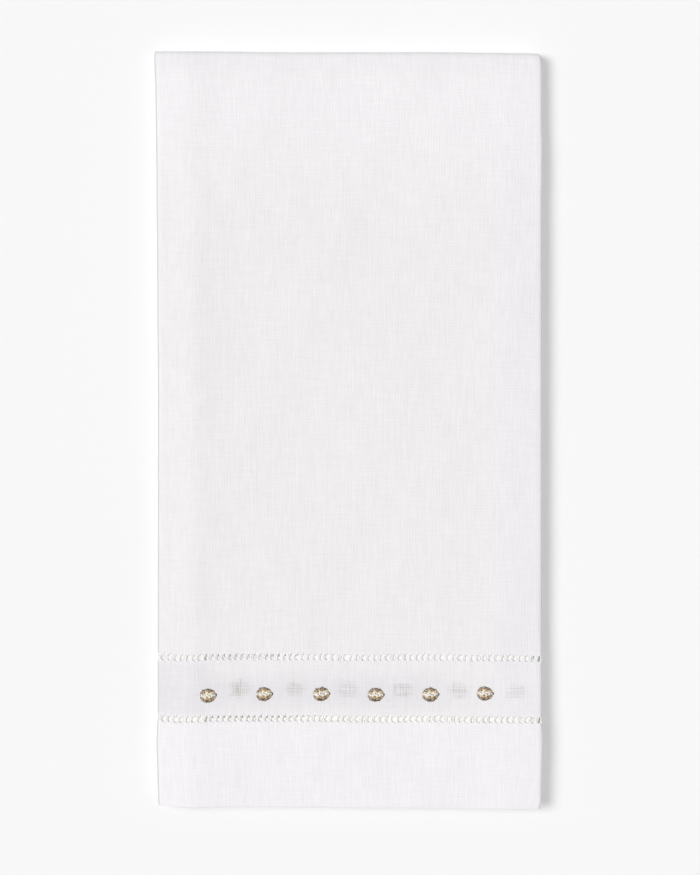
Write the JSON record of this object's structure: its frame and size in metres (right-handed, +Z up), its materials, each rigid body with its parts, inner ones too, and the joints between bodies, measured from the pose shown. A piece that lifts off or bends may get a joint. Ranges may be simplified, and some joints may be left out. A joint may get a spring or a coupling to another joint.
{
  "type": "hand towel",
  "caption": "White linen hand towel, folded in thirds and once across, with hemstitched rows and embroidered dots along its hemmed end.",
  "frame": {"origin": "on the surface, under the middle of the folded towel's box", "axes": "+Y along the folded towel towards its top fold, +Z up out of the front face, +X to the right as seen from above with the hemmed end nearest"},
  "size_m": [0.1306, 0.2556, 0.01],
  "materials": {
    "linen": "plain woven bleached linen, matt, slightly sheer, with uneven threads",
    "embroidery_thread": "lustrous beige stranded thread in padded satin stitch"
  },
  "bodies": {
    "root": {"towel": "linen", "dot_1": "embroidery_thread", "dot_2": "embroidery_thread", "dot_3": "embroidery_thread", "dot_4": "embroidery_thread", "dot_5": "embroidery_thread", "dot_6": "embroidery_thread"}
  },
  "joints": []
}
